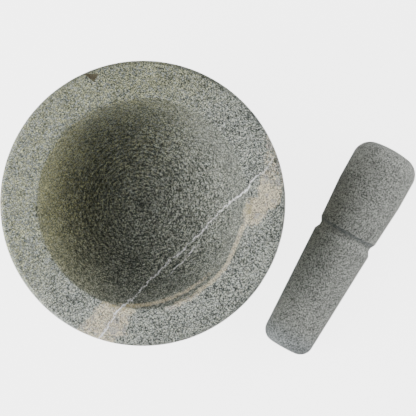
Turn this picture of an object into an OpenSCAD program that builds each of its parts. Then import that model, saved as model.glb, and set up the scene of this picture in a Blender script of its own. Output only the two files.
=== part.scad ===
// Stone mortar and pestle. The mortar is a turned bowl with thick walls and a
// broad flat rim, and the pestle is a tapered club with a turned groove, lying
// on the table beside it. The origin is the centre of the mortar's flat foot,
// and +Z is up.

/* [Mortar] */
// Diameter across the rim
mortar_d = 150; // [130:1:180]
// Height from the foot to the rim
mortar_h = 80; // [72:1:100]
// Diameter where the side meets the table
foot_d = 100; // [80:1:120]
// Height of the upright band under the rim
lip_h = 8; // [4:1:14]
// Width of the flat rim
rim_w = 19.4; // [14:0.1:24]
// Chamfer along the rim's outer edge
rim_chamfer = 1.6; // [0.4:0.1:3]
// Chamfer between the side and the foot
foot_chamfer = 2.5; // [1:0.5:5]

/* [Bowl] */
// Height of the bowl's straight upper wall
wall_h = 23; // [10:1:28]
// Slope of the upper wall above the level
wall_slope = 73; // [64:1:80]
// Roundness of the rim's inner edge
inner_edge_r = 0.4; // [0.2:0.1:2]

/* [Pestle] */
// Length of the pestle
pestle_l = 121; // [110:0.5:160]
// Largest diameter, at the grinding head
head_d = 36.1; // [30:0.1:44]
// Diameter just beyond the rounded handle end
handle_d = 27.8; // [22:0.1:29]
// Roundness of the handle end's corner
handle_edge_r = 7; // [2:0.5:8]
// Roundness of the grinding head's corner
head_edge_r = 10; // [4:0.5:12]
// Radius of the dome on the grinding face
head_dome_r = 55; // [30:1:90]
// Width of the turned groove
groove_w = 7.2; // [5:0.1:9]
// Depth of the turned groove
groove_depth = 1.4; // [0.5:0.1:2]

/* [Layout] */
// Distance in plan from the rim to the pestle's axis
pestle_gap = 27.6; // [26:0.1:60]
// How far the pestle's middle lies past its nearest point to the mortar
pestle_shift = 29.7; // [-60:0.1:60]
// Direction that the grinding head points, turned from +X towards +Y
pestle_turn = 60.8; // [0:0.1:360]

/* [Hidden] */
$fn = 120;

stone_colour = [0.46, 0.47, 0.42];
pestle_colour = [0.43, 0.44, 0.41];

mortar_r = mortar_d / 2;
bowl_r = mortar_r - rim_w;

// The side is one arc, upright where it meets the lip.
side_drop = mortar_h - lip_h;
side_inset = (mortar_d - foot_d) / 2;
side_r = (side_inset ^ 2 + side_drop ^ 2) / (2 * side_inset);

// The bowl's floor is one arc that runs on from the straight wall.
floor_edge_r = bowl_r - wall_h / tan(wall_slope);
floor_r = floor_edge_r / sin(wall_slope);
floor_centre_z = mortar_h - wall_h + floor_r * cos(wall_slope);

// The rim's inner edge is an arc that touches the rim and the wall.
inner_edge_x = bowl_r + inner_edge_r / tan(90 - wall_slope / 2);

// Stations along the pestle, measured from its handle end.
handle_r = handle_d / 2;
head_r = head_d / 2;
waist_r = handle_r + 0.62 * (head_r - handle_r);
groove_middle = 0.562 * pestle_l;
groove_floor = groove_w / 4;
swell_start = 0.784 * pestle_l;

// The dome and the head's corner touch each other at dome_angle.
head_corner_x = head_r - head_edge_r;
head_corner_rise = sqrt((head_dome_r - head_edge_r) ^ 2 - head_corner_x ^ 2);
head_corner_z = pestle_l - head_dome_r + head_corner_rise;
dome_angle = atan2(head_corner_rise, head_corner_x);

// Lying down, the pestle rests on its handle's end and on its swell. The line
// through both meets its axis at a point behind the handle.
rest_slope = atan((head_r - handle_r) / (swell_start - handle_edge_r));
rest_reach = handle_r / tan(rest_slope) - handle_edge_r;
rest_run = (rest_reach + pestle_l / 2) * cos(rest_slope);

function arc(x, y, r, from, to, steps = 12) =
    [for (i = [0 : steps])
        let (a = from + (to - from) * i / steps) [x + r * cos(a), y + r * sin(a)]];

function side_x(z) = mortar_r - side_r + sqrt(side_r ^ 2 - (side_drop - z) ^ 2);

function side(steps = 20) =
    [for (i = [0 : steps])
        let (z = foot_chamfer + (side_drop - foot_chamfer) * i / steps) [side_x(z), z]];

module mortar() {
    color(stone_colour)
        rotate_extrude()
            polygon(concat(
                [[0, 0], [side_x(0) - foot_chamfer, 0]],
                side(),
                [[mortar_r, mortar_h - rim_chamfer], [mortar_r - rim_chamfer, mortar_h]],
                arc(inner_edge_x, mortar_h - inner_edge_r, inner_edge_r, 90, 90 + wall_slope, 6),
                arc(0, floor_centre_z, floor_r, wall_slope - 90, -90, 24)
            ));
}

module pestle_upright() {
    rotate_extrude()
        polygon(concat(
            [[0, 0]],
            arc(handle_r - handle_edge_r, handle_edge_r, handle_edge_r, -90, 0, 8),
            [
                [waist_r, groove_middle - groove_w / 2],
                [waist_r - groove_depth, groove_middle - groove_floor / 2],
                [waist_r - groove_depth, groove_middle + groove_floor / 2],
                [waist_r, groove_middle + groove_w / 2],
                [head_r, swell_start]
            ],
            arc(head_corner_x, head_corner_z, head_edge_r, 0, dome_angle, 8),
            arc(0, pestle_l - head_dome_r, head_dome_r, dome_angle, 90, 6)
        ));
}

module pestle() {
    color(pestle_colour)
        rotate([0, 0, pestle_turn])
            translate([pestle_shift - rest_run, -mortar_r - pestle_gap, 0])
                rotate([0, 90 - rest_slope, 0])
                    translate([0, 0, rest_reach])
                        pestle_upright();
}

mortar();
pestle();
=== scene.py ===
import math

import bpy
import numpy as np
from mathutils import Matrix, Vector, noise


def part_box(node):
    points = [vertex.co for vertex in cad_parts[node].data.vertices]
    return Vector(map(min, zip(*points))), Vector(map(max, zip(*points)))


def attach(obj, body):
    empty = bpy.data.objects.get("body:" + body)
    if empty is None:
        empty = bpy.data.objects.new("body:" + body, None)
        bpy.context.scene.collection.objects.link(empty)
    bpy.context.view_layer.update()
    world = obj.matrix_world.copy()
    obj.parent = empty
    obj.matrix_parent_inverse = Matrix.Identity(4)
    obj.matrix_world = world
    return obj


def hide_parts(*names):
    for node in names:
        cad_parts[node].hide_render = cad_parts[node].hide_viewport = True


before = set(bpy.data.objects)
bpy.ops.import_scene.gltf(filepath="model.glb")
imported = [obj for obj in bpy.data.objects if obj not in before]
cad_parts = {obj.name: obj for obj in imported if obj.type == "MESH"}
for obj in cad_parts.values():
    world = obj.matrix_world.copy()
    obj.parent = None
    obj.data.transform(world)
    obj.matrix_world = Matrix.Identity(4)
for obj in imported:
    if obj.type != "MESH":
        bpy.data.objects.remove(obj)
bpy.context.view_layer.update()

# Looks of a turned granite mortar and the pestle that lies beside it. Each piece is
# a finely divided lathe form that replaces its CAD node, with the marks of its making
# in the mesh and the stone's grain, seams and veins in its material. Lengths are in
# metres, and N * MM is N millimetres.

MM = 0.001
_, mortar_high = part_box("mortar")

# ---------------------------------------------------------------- driving sizes

# The mortar: its radius and height come from the frame, and the other sizes repeat
# the CAD model's.
RIM_R = mortar_high.x
RIM_Z = mortar_high.z
RIM_W = 19.4 * MM
BOWL_R = RIM_R - RIM_W
LIP_H = 8 * MM
FOOT_R = 50 * MM
FOOT_CHAMFER = 2.5 * MM
RIM_CHAMFER = 1.6 * MM
INNER_EDGE = 0.4 * MM
WALL_H = 23 * MM
WALL_SLOPE = math.radians(73)

# An arc that would run into the axis stops this far round, just beside it.
NEAR_AXIS = math.radians(89.6)

# The lathe's cutter left one spiral groove on the bowl's floor, a little off centre. Its
# start is a phase in radians.
SPIRAL_X = -1.15 * MM
SPIRAL_Y = -0.90 * MM
SPIRAL_PITCH = 2.07 * MM
SPIRAL_START = 3.1

# The pestle, along its own axis from the end of its handle.
PESTLE_L = 121 * MM
HEAD_R = 18.05 * MM
HANDLE_R = 13.9 * MM
HANDLE_EDGE = 7 * MM
HEAD_EDGE = 10 * MM
HEAD_DOME = 55 * MM
SWELL = 0.784 * PESTLE_L
GROOVE_MIDDLE = 0.562 * PESTLE_L
GROOVE_W = 7.2 * MM
GROOVE_DEPTH = 1.4 * MM

# Where it lies: how far its axis is from the rim in plan, how far its middle is past the
# point nearest to the mortar, and where its head points, turned from +X towards +Y.
PESTLE_GAP = 27.6 * MM
PESTLE_SHIFT = 29.7 * MM
PESTLE_TURN = math.radians(60.8)

# How finely the forms are divided around. The mortar has more columns close to the
# pits that come first in PITS.
MORTAR_COLUMNS = 324
PIT_COLUMNS = 8
PIT_SPREAD = math.radians(3)
PITS_WITH_COLUMNS = 6
PESTLE_COLUMNS = 240

# The view from above: its width at the height of the rim, where its centre lies, and
# how far the camera is above the rim.
VIEW_W = 218.5 * MM
VIEW_X = 34.3 * MM
VIEW_Y = -2.45 * MM
VIEW_DISTANCE = 3.0


# ---------------------------------------------------------------- lathe forms

def arc(x, z, r, start, end, steps):
    """Points of an arc in the profile plane, with angles in radians."""
    turns = np.linspace(start, end, steps + 1)
    return [(x + r * math.cos(t), z + r * math.sin(t)) for t in turns]


def line(start, end, steps):
    """Evenly spaced points after start, up to and including end."""
    return [tuple(np.array(start) + (np.array(end) - np.array(start)) * i / steps)
            for i in range(1, steps + 1)]


def columns(count, dense_at=()):
    """Angles of a lathe form's columns, packed closer around the angles in dense_at."""
    turns = list(np.arange(count) * 2 * math.pi / count)
    for centre in dense_at:
        turns += [centre + PIT_SPREAD * (2 * (i + 0.5) / PIT_COLUMNS - 1)
                  for i in range(PIT_COLUMNS)]
    return np.unique(np.round(np.mod(turns, 2 * math.pi), 6))


class Lathe:
    """A profile turned about Z. Its points and normals have a row for each ring and a
    column for each angle in turns. The profile starts and ends on the axis."""

    def __init__(self, profile, turns):
        self.r, self.z = np.array(profile[1:-1]).T[:, :, None]
        self.ends = profile[0][1], profile[-1][1]
        self.turns = turns[None, :]
        slope_r = np.gradient(self.r, axis=0)
        slope_z = np.gradient(self.z, axis=0)
        length = np.hypot(slope_r, slope_z)
        self.points = self.spread(self.r, self.z)
        self.normals = self.spread(slope_z / length, -slope_r / length)

    def spread(self, radial, axial):
        """Profile values turned into vectors, one for each ring and column."""
        flat = np.ones_like(self.turns)
        return np.stack([radial * np.cos(self.turns), radial * np.sin(self.turns),
                         axial * flat], axis=-1)

    def push(self, height):
        """Moves every point along its normal, outwards where height is positive."""
        self.points = self.points + self.normals * height[..., None]

    def mesh(self, name, place=Matrix.Identity(4)):
        """A new object with the closed mesh, moved by place."""
        rings, around = self.points.shape[:2]
        vertices = [(0, 0, self.ends[0]), (0, 0, self.ends[1])]
        vertices += self.points.reshape(-1, 3).tolist()

        def at(ring, column):
            return 2 + ring * around + column % around

        faces = [(at(i, j), at(i, j + 1), at(i + 1, j + 1), at(i + 1, j))
                 for i in range(rings - 1) for j in range(around)]
        faces += [(0, at(0, j + 1), at(0, j)) for j in range(around)]
        faces += [(1, at(rings - 1, j), at(rings - 1, j + 1)) for j in range(around)]
        data = bpy.data.meshes.new(name)
        data.from_pydata(vertices, [], faces)
        data.transform(place)
        data.shade_smooth()
        piece = bpy.data.objects.new(name, data)
        bpy.context.scene.collection.objects.link(piece)
        return piece


def rough(points, size, seed):
    """A smooth random height between about -1 and 1 with features of the given size."""
    shift = Vector((seed * 7.31, seed * 3.77, seed * 5.13))
    flat = points.reshape(-1, 3) / size
    heights = [noise.noise(Vector(p) + shift) for p in flat]
    return np.array(heights).reshape(points.shape[:-1])


def smooth(low, high, value):
    """0 below low, 1 above high, and a smooth step between."""
    t = np.clip((value - low) / (high - low), 0, 1)
    return t * t * (3 - 2 * t)


# ---------------------------------------------------------------- the mortar

# Pits and chips in the rim: the angle in degrees, then in millimetres the radius, the
# height of the bite's middle above the rim, and its half-sizes across, along the radius
# and down.
PITS = [
    (111.7, 72.2, 0.3, 3.0, 2.0, 1.0),
    (182.7, 55.2, 0.2, 1.6, 1.2, 1.1),
    (186.4, 55.4, 0.2, 1.0, 1.0, 0.9),
    (204.7, 55.5, 0.2, 1.1, 1.0, 0.8),
    (64.5, 74.6, 0.2, 1.4, 1.3, 1.2),
    (43.1, 67.2, 0.2, 0.9, 0.8, 0.6),
    (17.6, 74.6, 0.2, 1.3, 1.3, 1.2),
    (191.6, 74.4, 0.2, 1.1, 1.2, 1.1),
    (298.0, 75.2, 0.0, 1.9, 1.4, 1.3),
    (318.0, 75.2, 0.2, 1.4, 1.3, 1.3),
    (236.0, 55.5, 0.2, 1.2, 0.9, 0.8),
]


def mortar_profile():
    """The mortar's outline from the middle of its foot to the middle of its bowl."""
    drop = RIM_Z - LIP_H
    inset = RIM_R - FOOT_R
    side_r = (inset ** 2 + drop ** 2) / (2 * inset)
    floor_edge = BOWL_R - WALL_H / math.tan(WALL_SLOPE)
    floor_r = floor_edge / math.sin(WALL_SLOPE)
    floor_centre = RIM_Z - WALL_H + floor_r * math.cos(WALL_SLOPE)
    edge_x = BOWL_R + INNER_EDGE / math.tan((math.pi - WALL_SLOPE) / 2)
    quarter = math.pi / 2

    # From this angle on the floor's rings are close enough for the turning marks, and
    # each sharp corner is softened by this much on both sides.
    marks_start = math.radians(-40)
    soft = 0.2 * MM

    def side_x(z):
        return RIM_R - side_r + math.sqrt(side_r ** 2 - (drop - z) ** 2)

    foot_edge = side_x(0) - FOOT_CHAMFER
    points = [(0, 0)]
    points += line((0, 0), (foot_edge - soft, 0), 8)
    points += line(points[-1], (foot_edge + soft, soft), 1)
    points += line(points[-1], (side_x(FOOT_CHAMFER), FOOT_CHAMFER), 3)
    points += [(side_x(z), z) for z in np.linspace(FOOT_CHAMFER + 0.6 * MM, drop, 44)]
    points += line(points[-1], (RIM_R, RIM_Z - RIM_CHAMFER - soft), 6)
    points += line(points[-1], (RIM_R - soft, RIM_Z - RIM_CHAMFER + soft), 1)
    points += line(points[-1], (RIM_R - RIM_CHAMFER + soft, RIM_Z - soft), 3)
    points += line(points[-1], (RIM_R - RIM_CHAMFER - soft, RIM_Z), 1)
    points += line(points[-1], (edge_x + 2.5 * soft, RIM_Z), 26)
    points += line(points[-1], (edge_x + soft / 2, RIM_Z), 1)
    points += arc(edge_x, RIM_Z - INNER_EDGE, INNER_EDGE, quarter, quarter + WALL_SLOPE, 4)
    wall_end = (floor_edge, RIM_Z - WALL_H)
    points += line(points[-1], wall_end, 24)[:-1]
    points += arc(0, floor_centre, floor_r, WALL_SLOPE - quarter, marks_start, 16)[:-1]
    points += arc(0, floor_centre, floor_r, marks_start, -NEAR_AXIS, 108)
    points += [(0, floor_centre - floor_r)]
    return points


def bite(points, centre, across, radial, down):
    """Pushes the points inside an ellipsoid out to its surface, which leaves a pit. The
    centre is an angle, a radius and a height."""
    out = np.array([math.cos(centre[0]), math.sin(centre[0]), 0])
    side = np.array([-out[1], out[0], 0])
    middle = out * centre[1] + np.array([0, 0, centre[2]])
    gap = points - middle
    parts = np.stack([gap @ side / across, gap @ out / radial, gap[..., 2] / down])
    reach = np.sqrt((parts ** 2).sum(0))
    grow = np.where(reach < 1, 1 / np.maximum(reach, 0.05), 1)
    return middle + gap * grow[..., None]


def build_mortar():
    dense_at = [math.radians(pit[0]) for pit in PITS[:PITS_WITH_COLUMNS]]
    form = Lathe(mortar_profile(), columns(MORTAR_COLUMNS, dense_at))
    r, z, turns = form.r, form.z, form.turns

    # Where the bowl is, and how far each point belongs to the outer side.
    inside = (r < BOWL_R + 0.3 * MM) & (z > FOOT_CHAMFER * 2)
    side = smooth(RIM_Z - 1 * MM, RIM_Z - 4 * MM, z) * (r > BOWL_R + INNER_EDGE)
    side = side * smooth(0, 3 * MM, z)

    # The spiral and the finer streaks that the lathe left on the bowl's floor.
    away_x, away_y = form.points[..., 0] - SPIRAL_X, form.points[..., 1] - SPIRAL_Y
    ring, turn = np.hypot(away_x, away_y), np.arctan2(away_y, away_x)
    floor = inside * smooth(46 * MM, 32 * MM, r) * smooth(1 * MM, 4 * MM, ring)
    pitch, flow = 1.0 * MM, 1.6
    streak = np.stack([ring / pitch, flow * np.cos(turn), flow * np.sin(turn)], axis=-1)
    spiral = np.cos(2 * math.pi * ring / SPIRAL_PITCH - turn - SPIRAL_START)
    height = MM * floor * (0.055 * spiral + 0.06 * rough(streak, 1, 2))

    # The lathe's centre mark, and the uneven grind of every surface.
    height -= 0.9 * MM * inside * smooth(2.2 * MM, 0.4 * MM, ring)
    grind = 0.03 * rough(form.points, 1.7 * MM, 3) + 0.05 * rough(form.points, 6 * MM, 4)
    height += grind * MM * (0.5 + 0.5 * floor + 0.8 * side)
    height += 0.12 * MM * side * rough(form.points, 25 * MM, 5)

    # On the side between -X and +Y the bowl's edge is worn round.
    to_edge = np.hypot(r - BOWL_R, z - RIM_Z)
    wear_and_light = smooth(math.radians(78), math.radians(104), turns)
    wear_and_light = wear_and_light * smooth(math.radians(166), math.radians(142), turns)
    height -= wear_and_light * np.clip(3.6 * MM - to_edge, 0, None) ** 2 / (2 * 4.9 * MM)

    # Small nicks along both edges of the rim.
    edge_in = smooth(1.2 * MM, 0.1 * MM, np.hypot(r - BOWL_R - INNER_EDGE, z - RIM_Z))
    edge_out = smooth(2.2 * MM, 0.4 * MM, np.hypot(r - RIM_R, z - RIM_Z))
    nicks = smooth(0.10, 0.5, rough(form.points, 1.4 * MM, 6))
    height -= MM * (0.22 * edge_in + 0.3 * edge_out) * nicks
    form.push(height)
    for angle, radius, above, across, radial, down in PITS:
        centre = (math.radians(angle), radius * MM, RIM_Z + above * MM)
        form.points = bite(form.points, centre, across * MM, radial * MM, down * MM)
    return form.mesh("mortar_stone")


# ---------------------------------------------------------------- the pestle

def pestle_profile():
    """The pestle's outline from the end of its handle to the middle of its face."""
    waist = HANDLE_R + 0.62 * (HEAD_R - HANDLE_R)
    corner_x = HEAD_R - HEAD_EDGE
    rise = math.sqrt((HEAD_DOME - HEAD_EDGE) ** 2 - corner_x ** 2)
    corner_z = PESTLE_L - HEAD_DOME + rise
    dome = math.atan2(rise, corner_x)
    quarter = math.pi / 2

    points = [(0, 0)]
    points += line((0, 0), (HANDLE_R - HANDLE_EDGE, 0), 8)[:-1]
    points += arc(HANDLE_R - HANDLE_EDGE, HANDLE_EDGE, HANDLE_EDGE, -quarter, 0, 14)
    points += line(points[-1], (waist, GROOVE_MIDDLE - GROOVE_W / 2), 62)
    points += line(points[-1], (waist - GROOVE_DEPTH, GROOVE_MIDDLE - GROOVE_W / 8), 7)
    points += line(points[-1], (waist - GROOVE_DEPTH, GROOVE_MIDDLE + GROOVE_W / 8), 4)
    points += line(points[-1], (waist, GROOVE_MIDDLE + GROOVE_W / 2), 7)
    points += line(points[-1], (HEAD_R, SWELL), 28)
    points += line(points[-1], (HEAD_R, corner_z), 16)[:-1]
    points += arc(corner_x, corner_z, HEAD_EDGE, 0, dome, 18)
    points += arc(0, PESTLE_L - HEAD_DOME, HEAD_DOME, dome, NEAR_AXIS, 14)[1:]
    points += [(0, PESTLE_L)]
    return points


def pestle_place():
    """The move that lays the upright pestle on the table beside the mortar."""
    slope = math.atan((HEAD_R - HANDLE_R) / (SWELL - HANDLE_EDGE))
    reach = HANDLE_R / math.tan(slope) - HANDLE_EDGE
    run = (reach + PESTLE_L / 2) * math.cos(slope)
    lay = Matrix.Rotation(math.pi / 2 - slope, 4, "Y")
    aside = Matrix.Translation((PESTLE_SHIFT - run, -RIM_R - PESTLE_GAP, 0))
    turn = Matrix.Rotation(PESTLE_TURN, 4, "Z")
    return turn @ aside @ lay @ Matrix.Translation((0, 0, reach))


def build_pestle():
    form = Lathe(pestle_profile(), columns(PESTLE_COLUMNS))
    grind = 0.02 * rough(form.points, 1.6 * MM, 11) + 0.03 * rough(form.points, 7 * MM, 12)
    form.push(grind * MM)
    return form.mesh("pestle_stone", pestle_place())


# ---------------------------------------------------------------- stone materials

class Graph:
    """A material's node tree, with a short method for each kind of node it needs."""

    def __init__(self, name):
        self.material = bpy.data.materials.new(name)
        self.material.use_nodes = True
        self.tree = self.material.node_tree
        self.shader = self.tree.nodes["Principled BSDF"]
        self.place = self.node("ShaderNodeTexCoord", {}).outputs["Object"]

    def node(self, kind, inputs, **settings):
        """A new node, with its inputs by name or number."""
        made = self.tree.nodes.new(kind)
        for key, value in settings.items():
            setattr(made, key, value)
        for socket, value in inputs.items():
            self.feed(made.inputs[socket], value)
        return made

    def feed(self, socket, value):
        """Links a socket to another one, or sets it to a constant."""
        if isinstance(value, bpy.types.NodeSocket):
            self.tree.links.new(value, socket)
        else:
            socket.default_value = value

    def math(self, operation, a, b=0.0):
        return self.node("ShaderNodeMath", {0: a, 1: b}, operation=operation).outputs[0]

    def add(self, *values):
        total = values[0]
        for value in values[1:]:
            total = self.math("ADD", total, value)
        return total

    def minus(self, a, b):
        return self.math("SUBTRACT", a, b)

    def times(self, *values):
        product = values[0]
        for value in values[1:]:
            product = self.math("MULTIPLY", product, value)
        return product

    def most(self, *values):
        highest = values[0]
        for value in values[1:]:
            highest = self.math("MAXIMUM", highest, value)
        return highest

    def absolute(self, value):
        return self.math("ABSOLUTE", value)

    def vector(self, operation, a, b=(0, 0, 0)):
        return self.node("ShaderNodeVectorMath", {0: a, 1: b}, operation=operation)

    def dot(self, direction):
        """How far each point lies along a direction."""
        return self.vector("DOT_PRODUCT", self.place, direction).outputs["Value"]

    def step(self, value, low, high):
        """A smooth step from 0 at low to 1 at high, which may be the lower number."""
        inputs = {"Value": value, "From Min": low, "From Max": high}
        made = self.node("ShaderNodeMapRange", inputs, interpolation_type="SMOOTHSTEP")
        return made.outputs["Result"]

    def cloud(self, size, detail=2.0):
        """Smooth noise from 0 to 1 with features of the given size."""
        inputs = {"Vector": self.place, "Scale": 1 / size, "Detail": detail}
        return self.node("ShaderNodeTexNoise", inputs).outputs["Fac"]

    def sway(self, size, amount, detail=2.0):
        """Smooth noise about 0, which seldom goes beyond half of amount either way."""
        return self.times(self.minus(self.cloud(size, detail), 0.5), amount)

    def warped(self, size, amount, place=None):
        """Positions shaken by noise of the given size, by up to about amount."""
        place = place or self.place
        inputs = {"Vector": place, "Scale": 1 / size, "Detail": 1.0}
        shake = self.node("ShaderNodeTexNoise", inputs).outputs["Color"]
        scaled = self.vector("MULTIPLY", shake, (amount,) * 3).outputs[0]
        return self.vector("ADD", place, scaled).outputs[0]

    def radius(self, x=0.0, y=0.0):
        """The distance in plan from the axis through x and y, and the direction away."""
        flat = self.vector("MULTIPLY", self.place, (1, 1, 0)).outputs[0]
        away = self.vector("SUBTRACT", flat, (x, y, 0)).outputs[0]
        length = self.vector("LENGTH", away).outputs["Value"]
        return length, self.vector("NORMALIZE", away).outputs[0]

    def spiral(self):
        """The lathe's groove on the bowl's floor: 1 on its crests and -1 in its troughs."""
        radius, away = self.radius(SPIRAL_X, SPIRAL_Y)
        split = self.node("ShaderNodeSeparateXYZ", {"Vector": away}).outputs
        turn = self.math("ARCTAN2", split["Y"], split["X"])
        phase = self.minus(self.times(radius, 2 * math.pi / SPIRAL_PITCH), turn)
        return self.math("COSINE", self.minus(phase, SPIRAL_START))

    def turned(self, pitch, count):
        """Smooth noise in streaks around the lathe's axis, about pitch wide. The higher
        the count, the shorter they are."""
        radius, away = self.radius(SPIRAL_X, SPIRAL_Y)
        down = self.times(self.dot((0, 0, 1)), 0.4)
        ring = self.times(self.add(radius, down), 1 / pitch)
        ring = self.node("ShaderNodeCombineXYZ", {"Z": ring}).outputs[0]
        around = self.vector("MULTIPLY", away, (count,) * 3).outputs[0]
        place = self.vector("ADD", around, ring).outputs[0]
        inputs = {"Vector": place, "Scale": 1.0, "Detail": 1.0}
        return self.node("ShaderNodeTexNoise", inputs).outputs["Fac"]

    def grains(self, size, place):
        """Three random numbers for each grain, and the distance from its middle."""
        made = self.node("ShaderNodeTexVoronoi", {"Vector": place, "Scale": 1 / size})
        split = self.node("ShaderNodeSeparateColor", {"Color": made.outputs["Color"]})
        return [*split.outputs, made.outputs["Distance"]]

    def ramp(self, value, stops):
        """A colour for each value, from a list of (position, colour)."""
        made = self.node("ShaderNodeValToRGB", {"Fac": value})
        while len(made.color_ramp.elements) < len(stops):
            made.color_ramp.elements.new(0.5)
        for element, (position, colour) in zip(made.color_ramp.elements, stops):
            element.position = position
            element.color = (*colour, 1)
        return made.outputs["Color"]

    def mix(self, amount, a, b, blend="MIX"):
        """Colour a with the given amount of b mixed in. On this node the sockets for
        colours are inputs 6 and 7 and output 2."""
        made = self.node("ShaderNodeMix", {0: amount}, data_type="RGBA", blend_type=blend)
        for socket, value in ((made.inputs[6], a), (made.inputs[7], b)):
            self.feed(socket, value if isinstance(value, bpy.types.NodeSocket) else (*value, 1))
        return made.outputs[2]

    def bump(self, height, distance):
        inputs = {"Height": height, "Distance": distance, "Strength": 1.0}
        self.feed(self.shader.inputs["Normal"], self.node("ShaderNodeBump", inputs).outputs[0])


# The directions that the seams follow: along them, and across them in plan.
SEAM_ALONG = (0.695, 0.719, 0.0)
SEAM_ACROSS = (0.719, -0.695, 0.0)

# The sides of the mortar where its stone or its wear differs, or where light and shade are
# painted on, as directions in plan.
WARM_SIDE = (-0.75, 0.66, 0)
OLIVE_SIDE = (-0.98, -0.17, 0)
LIT_WALL_SIDE = (-0.71, 0.71, 0)
SMOOTH_SIDE = (0.8, -0.6, 0)
BEVEL_LIGHT_SIDE = (-0.8, -0.6, 0)

# The sizes of the grains, and how strongly the stone mirrors light.
MORTAR_GRAIN = 0.385 * MM
PESTLE_GRAIN = 0.34 * MM
STONE_SPECULAR = 0.35

# The bowl's floor is 21 mm above the foot. A step between these heights keeps what
# belongs to the bowl off the mortar's underside. The second step keeps what belongs to
# the top of the rim off the walls below it.
UNDER_BOWL = (16 * MM, 18 * MM)
UNDER_RIM = (RIM_Z - 3.5 * MM, RIM_Z - 2.5 * MM)

# Colours of the grains, from dark hornblende to pale feldspar, and where each lies on
# the scale of shades. Some of the mortar's grains are cooler and some are yellower.
GRAIN_STOPS = (0.12, 0.37, 0.60, 0.88)
PLAIN_GRAINS = [(0.034, 0.040, 0.037), (0.142, 0.158, 0.147),
                (0.287, 0.308, 0.289), (0.77, 0.81, 0.76)]
COOL_GRAINS = [(0.035, 0.042, 0.042), (0.140, 0.160, 0.160),
               (0.277, 0.305, 0.295), (0.64, 0.69, 0.65)]
WARM_GRAINS = [(0.039, 0.042, 0.026), (0.152, 0.165, 0.113),
               (0.314, 0.325, 0.216), (0.79, 0.80, 0.47)]
PESTLE_GRAINS = [(0.06, 0.066, 0.06), (0.19, 0.20, 0.185),
                 (0.33, 0.342, 0.315), (0.62, 0.635, 0.585)]
BOWL_TINT = (1.018, 1.0, 0.975)
OLIVE_TINT = (1.02, 0.985, 0.79)
CREAM_DARK = (0.17, 0.16, 0.12)
CREAM_PALE = (0.99, 0.92, 0.67)
CREAM_PINK = (0.88, 0.72, 0.55)
CLOUDED_QUARTZ = (0.45, 0.44, 0.46)
OCHRE = (0.38, 0.33, 0.165)
BROWN = (0.075, 0.062, 0.035)
BLACK_GREEN = (0.05, 0.056, 0.042)
VEIN_WHITE = (0.98, 0.98, 1.0)
HANDLE_BLUE = (0.96, 1.0, 1.08)
# The painted shade at the foot of the pestle's groove shoulder.
GROOVE_SHADE = (0.12, 0.135, 0.145)

# The main vein's steps to the side: where each starts and ends along the vein, and how
# far it goes, in millimetres.
VEIN_SHIFTS = [(-22, 6, 1.6), (33, 42, 1.8), (43, 49, -1.4), (51, 57, 1.2), (59, 66, -1.5),
               (-38, -48, -1.0), (-50, -68, 3.3)]

# The same for the thread along the bowl's edge, where a step above zero goes outwards.
OUTER_THREAD_SHIFTS = [(-13, -17, 1.0), (-24, -29, 1.2), (6, 16, -1.3), (24, 33, 2.0)]

# Dark spots around the rim and on the bowl's floor: the angle in degrees, then in millimetres
# the radius and the half-sizes across and along the radius. The rim spots at the pits of PITS
# are painted shade inside the chips; the rest are dark spots in the stone.
RIM_SPOTS_AND_PIT_SHADE = [
    (182.7, 55.9, 1.2, 0.7),
    (186.4, 56.2, 0.9, 0.5),
    (204.7, 56.4, 1.0, 0.5),
    (191.6, 73.0, 0.7, 0.7),
    (64.5, 73.5, 1.0, 0.8),
    (43.1, 67.2, 0.8, 0.7),
    (17.6, 73.2, 1.1, 0.9),
    (141.0, 66.0, 0.7, 0.5),
    (330.5, 61.0, 0.8, 0.6),
]
FLOOR_SPOTS = [
    (19.8, 20.3, 1.1, 1.1),
    (135.7, 17.3, 0.6, 1.3),
]

# The largest crystal is three-sided: the angle and radius of its middle, and the angle
# that each of its faces points to, with the face's distance from the middle.
CRYSTAL = (111.7, 71.6)
CRYSTAL_FACES = [(90.0, 1.5), (327.5, 2.1), (233.7, 1.5)]


def direction(angle):
    """The unit vector in plan at an angle in degrees, turned from +X towards +Y."""
    turn = math.radians(angle)
    return Vector((math.cos(turn), math.sin(turn), 0))


def speckle(graph, size, mottling, place=None):
    """Random numbers for interlocking grains: shade, hue, kind, and the distance from the
    middle of each."""
    place = graph.warped(size * 1.2, size * 0.8, place)
    tone, hue, kind, middle = graph.grains(size, place)
    fine = graph.grains(size * 0.5, place)[0]
    shade = graph.add(graph.times(tone, 0.8), graph.times(fine, 0.2))
    shade = graph.add(shade, graph.sway(2.4 * MM, mottling), graph.sway(11 * MM, 0.2))
    return shade, hue, kind, middle


def grain_colour(graph, shade, colours):
    return graph.ramp(shade, list(zip(GRAIN_STOPS, colours)))


def shifted(graph, path, along, shifts):
    """A path with a smooth step to the side for each (start, end, shift)."""
    for start, end, shift in shifts:
        step = graph.step(along, start * MM, end * MM)
        path = graph.add(path, graph.times(step, shift * MM))
    return path


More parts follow.
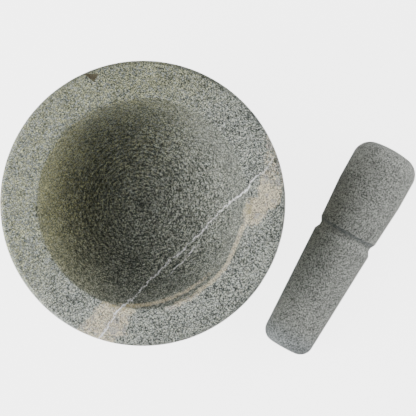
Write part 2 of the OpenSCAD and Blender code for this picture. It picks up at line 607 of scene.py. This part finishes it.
def veins(graph, across, along):
    """The mask of the two white veins."""
    kinks = graph.grains(2.3 * MM, graph.warped(1.5 * MM, 1.2 * MM))[0]
    jagged = graph.add(graph.sway(9 * MM, 1.4 * MM), graph.sway(3.4 * MM, 2.2 * MM, 4.0),
                       graph.times(graph.minus(kinks, 0.5), 0.9 * MM))
    middle = shifted(graph, graph.add(jagged, 31 * MM), along, VEIN_SHIFTS)
    gap = graph.absolute(graph.minus(across, middle))

    # The main vein is thinner on the bowl's floor and towards its upper end, where it
    # fades into the cream.
    on_floor = graph.times(graph.step(along, -46 * MM, -42 * MM),
                           graph.step(along, 39 * MM, 31 * MM))
    lean = graph.add(graph.times(on_floor, 0.15 * MM),
                     graph.times(graph.step(along, 48 * MM, 53 * MM), 0.08 * MM))
    beads = graph.times(graph.minus(graph.cloud(1.5 * MM, 3.0), 0.22), 1.25 * MM)
    width = graph.minus(graph.add(beads, graph.sway(0.7 * MM, 0.5 * MM)), lean)
    main = graph.step(gap, graph.add(width, 0.12 * MM), graph.minus(width, 0.06 * MM))
    fading = graph.add(0.6, graph.times(graph.step(along, 54 * MM, 48 * MM), 0.4))
    main = graph.times(main, fading, graph.step(along, 67 * MM, 64 * MM))

    # The second vein runs beside it for a short way, in dashes.
    gap = graph.absolute(graph.minus(graph.minus(across, 36.4 * MM), graph.times(jagged, 0.8)))
    thin = graph.step(gap, 0.34 * MM, 0.12 * MM)
    ends = graph.times(graph.step(along, -22 * MM, -15 * MM), graph.step(along, 7 * MM, 2 * MM))
    dashes = graph.step(graph.cloud(1.9 * MM, 3.0), 0.32, 0.48)
    return graph.most(main, graph.times(thin, ends, dashes, 0.9))


def lower_patch(graph, across, along, radius, ragged, blotch):
    """The cream patch across the rim's -Y side, narrower at the bowl's edge."""
    wavy = graph.add(across, ragged)
    side = graph.math("MINIMUM", graph.add(graph.times(along, -0.35), 20.7 * MM), 40 * MM)
    patch = graph.times(graph.step(wavy, 19.6 * MM, 22.6 * MM),
                        graph.step(graph.minus(wavy, side), 1.5 * MM, -1.5 * MM))
    rim = graph.step(radius, 54.6 * MM, 56.2 * MM)
    ends = graph.times(graph.step(along, -34 * MM, -38 * MM), rim)
    return graph.times(patch, graph.step(blotch, 0.2, 0.55), ends, 0.9)


def upper_patch(graph, across, along, ragged, blotch):
    """The cream patch across the rim's +X side, along an arch that bows over the bowl."""
    bow = graph.math("POWER", graph.absolute(graph.minus(along, 3.7 * MM)), 2.0)
    beyond = graph.minus(graph.add(across, graph.times(bow, 6.5)), 54.6 * MM)
    limit = graph.math("MINIMUM", graph.times(graph.minus(along, 32 * MM), 0.57), 10.5 * MM)
    edge = graph.add(beyond, ragged)
    lifted = graph.minus(edge, graph.times(graph.step(along, 40 * MM, 45 * MM), 3.8 * MM))
    patch = graph.times(graph.step(lifted, -8.4 * MM, -5.6 * MM),
                        graph.step(along, 28 * MM, 35 * MM),
                        graph.step(graph.minus(edge, limit), 1.6 * MM, -1.2 * MM))
    core = graph.add(0.4, graph.times(graph.step(along, 60 * MM, 50 * MM), 0.6))
    return graph.times(patch, graph.step(blotch, 0.1, 0.5), core)


def threads(graph, across, along, radius):
    """The two cream threads that run around the bowl from patch to patch, the outer one
    at the bowl's edge. Both fade out down the walls."""
    upper = graph.step(graph.dot((0, 0, 1)), RIM_Z - 30 * MM, RIM_Z - 20 * MM)
    near = graph.times(graph.step(across, 22 * MM, 27 * MM), upper)
    shake = graph.sway(2.2 * MM, 1.4 * MM, 3.0)
    run = graph.add(along, 5.2 * MM)
    path = graph.add(graph.times(run, run, 2.2), 51.1 * MM)
    inner = graph.absolute(graph.minus(graph.add(radius, shake), path))
    inner = graph.times(graph.step(inner, 1.15 * MM, 0.35 * MM),
                        graph.step(along, 8 * MM, -24 * MM))

    path = shifted(graph, 54.8 * MM, along, OUTER_THREAD_SHIFTS)
    loose = graph.times(graph.sway(1.6 * MM, 3.6 * MM, 3.0),
                        graph.step(along, -2 * MM, -10 * MM))
    outer = graph.absolute(graph.minus(graph.add(radius, shake, loose), path))
    outer = graph.times(graph.step(outer, 1.5 * MM, 0.6 * MM),
                        graph.step(along, 39 * MM, 35 * MM),
                        graph.step(along, -34 * MM, -26 * MM), 0.9)
    start = graph.step(along, -48 * MM, -44 * MM)
    return graph.times(graph.most(inner, outer), near, start)


def cream_density(graph, across, along, radius):
    """How much of the stone has turned to cream: two patches, joined by threads."""
    ragged = graph.add(graph.sway(9 * MM, 5 * MM), graph.sway(2.6 * MM, 4 * MM, 3.0))
    blotch = graph.cloud(4.2 * MM, 3.0)
    return graph.most(lower_patch(graph, across, along, radius, ragged, blotch),
                      upper_patch(graph, across, along, ragged, blotch),
                      threads(graph, across, along, radius))


def dark_spots_and_pit_shade(graph, height):
    """The mask of the dark spots around the rim and on the bowl's floor, with painted shade in
    the rim's pits.
    """
    top = graph.step(height, *UNDER_RIM)
    hollow = graph.times(graph.step(height, *UNDER_BOWL), graph.step(height, 44 * MM, 40 * MM))
    shake = graph.sway(0.9 * MM, 1.0)
    masks = []
    for where, places in ((top, RIM_SPOTS_AND_PIT_SHADE), (hollow, FLOOR_SPOTS)):
        for angle, radius, across, radial in places:
            out = direction(angle)
            away = graph.times(graph.minus(graph.dot(out), radius * MM), 1 / (radial * MM))
            aside = graph.times(graph.dot((-out.y, out.x, 0)), 1 / (across * MM))
            reach = graph.add(graph.times(away, away), graph.times(aside, aside), shake)
            ahead = graph.step(graph.dot(out), 0, 1 * MM)
            masks.append(graph.times(graph.step(reach, 1.3, 0.6), ahead, where))
    return graph.most(*masks)


def crystal(graph, height):
    """The mask of the three-sided crystal in the rim."""
    top = graph.step(height, *UNDER_RIM)
    middle = direction(CRYSTAL[0]) * CRYSTAL[1] * MM
    faces = []
    for angle, distance in CRYSTAL_FACES:
        facing = direction(angle)
        faces.append(graph.minus(graph.dot(facing), middle.dot(facing) + distance * MM))
    reach = graph.add(graph.most(*faces), graph.sway(1.5 * MM, 0.9 * MM, 3.0))
    return graph.times(graph.step(reach, 0.2 * MM, -0.15 * MM), top)


def mortar_shade(graph, grain, radius, height, bowl, floor, streaks):
    """How pale each grain of the mortar is, from its random shade and its place."""

    # On the warm side the grains are more even, and so are they where the wall or the
    # floor is ground smoother. The whole bowl is a little darker.
    even = graph.step(graph.dot(WARM_SIDE), -35 * MM, 50 * MM)
    wall = graph.minus(bowl, floor)
    smooth_wall = graph.times(wall, graph.step(graph.dot(SMOOTH_SIDE), -10 * MM, 30 * MM))
    evened = graph.add(graph.times(smooth_wall, 0.22), graph.times(floor, 0.08))
    contrast = graph.minus(graph.minus(1.44, graph.times(even, 0.52)), evened)
    shade = graph.add(graph.times(graph.minus(grain, 0.55), contrast), 0.517,
                      graph.times(bowl, -0.06))

    # The lathe's marks on the floor: streaks, the spiral and the dark centre. The floor
    # is also a little paler towards +Y.
    ring, _ = graph.radius(SPIRAL_X, SPIRAL_Y)
    shade = graph.add(shade, graph.times(floor, graph.minus(streaks, 0.5), 0.9))
    shade = graph.add(shade, graph.times(floor, graph.dot((0, 0.6, 0))))
    fade = graph.step(radius, 44 * MM, 28 * MM)
    depth = graph.add(graph.times(fade, 0.055), 0.02)
    shade = graph.add(shade, graph.times(floor, graph.spiral(), depth))
    centre = graph.step(ring, 1.9 * MM, 0.9 * MM)
    shade = graph.minus(shade, graph.times(centre, bowl, 0.3))

    # The stone is darker towards +Y and paler towards -X. The bowl is darker towards -Y, and its
    # wall between -X and +Y, where the edge is worn round, is painted paler: painted light.
    far = graph.step(graph.dot((0, 1, 0)), 52 * MM, 64 * MM)
    shade = graph.minus(shade, graph.times(far, 0.02))
    left = graph.step(graph.dot((-1, 0, 0)), 25 * MM, 60 * MM)
    shade = graph.add(shade, graph.times(left, 0.02))
    lower = graph.times(bowl, graph.step(graph.dot((0, -1, 0)), 15 * MM, 45 * MM))
    shade = graph.minus(shade, graph.times(lower, 0.03))
    wear_and_light = graph.times(bowl, graph.step(graph.dot(LIT_WALL_SIDE), 32 * MM, 46 * MM))
    shade = graph.add(shade, graph.times(wear_and_light, 0.065))

    # The bevel has painted light on its -X, -Y side and painted shade on the other side.
    bevel = graph.times(graph.step(radius, RIM_R - 1.9 * MM, RIM_R - 1.3 * MM),
                        graph.step(height, RIM_Z - 3.0 * MM, RIM_Z - 2.0 * MM))
    return graph.add(shade, graph.times(bevel, graph.dot(BEVEL_LIGHT_SIDE), 0.10 / RIM_R))


def granite_colour(graph, shade, hue, bowl):
    """The plain stone: yellow and blue-grey grains in clusters, mostly on the warm side,
    and an olive cast on one side of the bowl."""
    yellow = graph.times(graph.step(graph.dot((0, 1, 0)), 40 * MM, 65 * MM), 0.08)
    cluster = graph.add(graph.times(hue, 0.5), graph.cloud(1.5 * MM), yellow)
    mixed = graph.mix(graph.step(cluster, 0.62, 0.82), grain_colour(graph, shade, COOL_GRAINS),
                      grain_colour(graph, shade, WARM_GRAINS))
    warm = graph.step(graph.dot(WARM_SIDE), -12 * MM, 42 * MM)
    varied = graph.add(0.25, graph.times(warm, 0.75))
    colour = graph.mix(varied, grain_colour(graph, shade, PLAIN_GRAINS), mixed)
    olive = graph.times(bowl, graph.step(graph.dot(OLIVE_SIDE), 10 * MM, 50 * MM))
    for amount, tint in ((bowl, BOWL_TINT), (olive, OLIVE_TINT)):
        colour = graph.mix(amount, colour, graph.mix(1.0, colour, tint, "MULTIPLY"))
    return colour


def add_cream(graph, colour, shade, hue, kind, radius, across, along):
    """Lays the cream seams over the stone's colour."""
    density = cream_density(graph, across, along, radius)
    cream = graph.step(kind, graph.add(density, 0.08), graph.minus(density, 0.08))
    cream = graph.times(cream, graph.step(density, 0.02, 0.1))
    cream_colour = graph.mix(graph.step(shade, 0.2, 0.66), CREAM_DARK, CREAM_PALE)
    pink = graph.times(graph.step(hue, 0.62, 0.8), 0.5)
    cream_colour = graph.mix(pink, cream_colour, CREAM_PINK)
    clouded = graph.times(graph.step(graph.cloud(3.4 * MM, 3.0), 0.54, 0.64), 0.55)
    cream_colour = graph.mix(clouded, cream_colour, CLOUDED_QUARTZ)
    colour = graph.mix(cream, colour, cream_colour)

    # Ochre has seeped in at the bowl's edge, where the patches meet it.
    edge = graph.step(graph.absolute(graph.minus(radius, 55.2 * MM)), 3.4 * MM, 1.2 * MM)
    close = graph.most(graph.step(along, -30 * MM, -42 * MM),
                       graph.step(along, 30 * MM, 36 * MM))
    stain = graph.step(graph.cloud(2.5 * MM, 3.0), 0.40, 0.56)
    return graph.mix(graph.times(edge, stain, density, close, 0.8), colour, OCHRE)


def mortar_material():
    graph = Graph("granite_with_seams")
    radius, _ = graph.radius()
    height = graph.dot((0, 0, 1))
    hollow = graph.step(height, *UNDER_BOWL)
    bowl = graph.times(graph.step(radius, BOWL_R + 0.8 * MM, BOWL_R - 1.2 * MM), hollow)
    floor = graph.times(bowl, graph.step(radius, 50 * MM, 36 * MM))
    streaks = graph.turned(0.65 * MM, 12)

    # Down the bowl's wall the grains are drawn out to twice their length.
    drawn = graph.times(bowl, graph.minus(height, RIM_Z), -0.5)
    drawn = graph.node("ShaderNodeCombineXYZ", {"Z": drawn}).outputs[0]
    place = graph.vector("ADD", graph.place, drawn).outputs[0]
    grain, hue, kind, middle = speckle(graph, MORTAR_GRAIN, 0.10, place)
    shade = mortar_shade(graph, grain, radius, height, bowl, floor, streaks)

    across, along = graph.dot(SEAM_ACROSS), graph.dot(SEAM_ALONG)
    colour = granite_colour(graph, shade, hue, bowl)
    colour = add_cream(graph, colour, shade, hue, kind, radius, across, along)
    # Dark spots, and painted shade in the rim's pits.
    colour = graph.mix(graph.times(dark_spots_and_pit_shade(graph, height), 0.85), colour, BLACK_GREEN)
    colour = graph.mix(graph.times(crystal(graph, height), 0.9), colour, BROWN)
    colour = graph.mix(veins(graph, across, along), colour, VEIN_WHITE)
    graph.feed(graph.shader.inputs["Base Color"], colour)
    graph.feed(graph.shader.inputs["Roughness"], graph.add(0.62, graph.times(kind, 0.25)))
    graph.shader.inputs["Specular IOR Level"].default_value = STONE_SPECULAR

    # The grind is coarser on the bowl's floor, and the lathe's streaks are in the bowl.
    grind = graph.add(graph.cloud(0.45 * MM), graph.times(middle, 0.8))
    grooves = graph.times(streaks, bowl, 2.0)
    graph.bump(graph.add(graph.times(grind, graph.add(floor, 0.9)), grooves), 0.08 * MM)
    return graph.material


def pestle_material():
    graph = Graph("granite_fine")
    grain, _, kind, middle = speckle(graph, PESTLE_GRAIN, 0.09)
    shade = graph.add(graph.times(graph.minus(grain, 0.5), 1.3), 0.495)
    colour = grain_colour(graph, shade, PESTLE_GRAINS)

    # Painted shade lies at the foot of the groove's shoulder, standing in for the step's shadow,
    # and the handle's end is bluer.
    tip = Vector(pestle_place() @ Vector((0, 0, 0)))
    axis = (pestle_place().to_3x3() @ Vector((0, 0, 1))).normalized()
    station = graph.minus(graph.dot(axis), tip.dot(axis))
    past = graph.minus(station, GROOVE_MIDDLE)
    groove_shade = graph.times(graph.step(past, 0.2 * MM, 3.0 * MM),
                        graph.step(past, 3.8 * MM, 3.2 * MM))
    colour = graph.mix(graph.times(groove_shade, 0.6), colour, GROOVE_SHADE)
    blue = graph.mix(1.0, colour, HANDLE_BLUE, "MULTIPLY")
    colour = graph.mix(graph.step(station, 16 * MM, 2 * MM), colour, blue)
    graph.feed(graph.shader.inputs["Base Color"], colour)
    graph.feed(graph.shader.inputs["Roughness"], graph.add(0.52, graph.times(kind, 0.2)))
    graph.shader.inputs["Specular IOR Level"].default_value = STONE_SPECULAR
    graph.bump(graph.add(graph.cloud(0.4 * MM), graph.times(middle, 0.8)), 0.06 * MM)
    return graph.material


# ---------------------------------------------------------------- studio

# How brightly the floor and the backdrop show to the camera, the world's fill light, and
# how far the lamps are from the point that they face.
FLOOR_GLOW = 4.0
BACKDROP_GLOW = 4.2
FILL = 0.03
LAMP_DISTANCE = 1.0


def build_floor():
    """A pale floor whose glow only the camera sees, so that it doesn't light the stone."""
    bpy.ops.mesh.primitive_circle_add(vertices=96, radius=3.0, fill_type="NGON")
    floor = bpy.context.object
    floor.name = "floor"
    graph = Graph("pale_floor")
    graph.shader.inputs["Base Color"].default_value = (0.8, 0.8, 0.8, 1)
    graph.shader.inputs["Roughness"].default_value = 0.9
    graph.shader.inputs["Emission Color"].default_value = (1, 1, 1, 1)
    seen = graph.node("ShaderNodeLightPath", {}).outputs["Is Camera Ray"]
    glow = graph.node("ShaderNodeMapRange", {"Value": seen, "To Min": 0.0, "To Max": FLOOR_GLOW})
    graph.feed(graph.shader.inputs["Emission Strength"], glow.outputs["Result"])
    floor.data.materials.append(graph.material)


def softbox(name, azimuth, elevation, width, height, power):
    """A soft rectangular light that faces the mortar. Its azimuth turns from +X to +Y in
    degrees, its size is in metres and its power in watts."""
    light = bpy.data.lights.new(name, "AREA")
    light.shape = "RECTANGLE"
    light.size, light.size_y = width, height
    light.energy = power
    lamp = bpy.data.objects.new(name, light)
    turn, rise = math.radians(azimuth), math.radians(elevation)
    away = Vector((math.cos(turn) * math.cos(rise), math.sin(turn) * math.cos(rise),
                   math.sin(rise)))
    target = Vector((0, 0, RIM_Z * 0.7))
    lamp.location = target + away * LAMP_DISTANCE
    lamp.rotation_euler = (-away).to_track_quat("-Z", "Y").to_euler()
    bpy.context.scene.collection.objects.link(lamp)


def build_world():
    """Dim, even light from all around, and a pale backdrop above the horizon."""
    world = bpy.data.worlds.new("studio")
    world.use_nodes = True
    bpy.context.scene.world = world
    tree = world.node_tree
    fill = tree.nodes["Background"]
    fill.inputs["Color"].default_value = (1, 1, 1, 1)
    seen = tree.nodes.new("ShaderNodeLightPath").outputs["Is Camera Ray"]
    level = tree.nodes.new("ShaderNodeMapRange")
    level.inputs["To Min"].default_value = FILL
    level.inputs["To Max"].default_value = BACKDROP_GLOW
    tree.links.new(seen, level.inputs["Value"])
    tree.links.new(level.outputs["Result"], fill.inputs["Strength"])


def build_camera():
    """A long lens straight above, so that the walls hide nothing of the bowl."""
    data = bpy.data.cameras.new("camera")
    data.lens = data.sensor_width * VIEW_DISTANCE / VIEW_W
    data.clip_start, data.clip_end = 0.05, 20
    camera = bpy.data.objects.new("camera", data)
    camera.location = (VIEW_X, VIEW_Y, RIM_Z + VIEW_DISTANCE)
    bpy.context.scene.collection.objects.link(camera)
    bpy.context.scene.camera = camera


build_camera()
build_floor()
build_world()
softbox("key_left", 182, 41, 1.5, 0.75, 11.4)
softbox("low_left", 200, 24, 1.0, 0.5, 7.9)
softbox("side_right", 9, 19, 1.5, 0.54, 11.8)
softbox("top", 0, 90, 0.6, 0.6, 0.8)

mortar = build_mortar()
mortar.data.materials.append(mortar_material())
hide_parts("mortar")
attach(mortar, "mortar")

pestle = build_pestle()
pestle.data.materials.append(pestle_material())
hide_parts("pestle")
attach(pestle, "pestle")
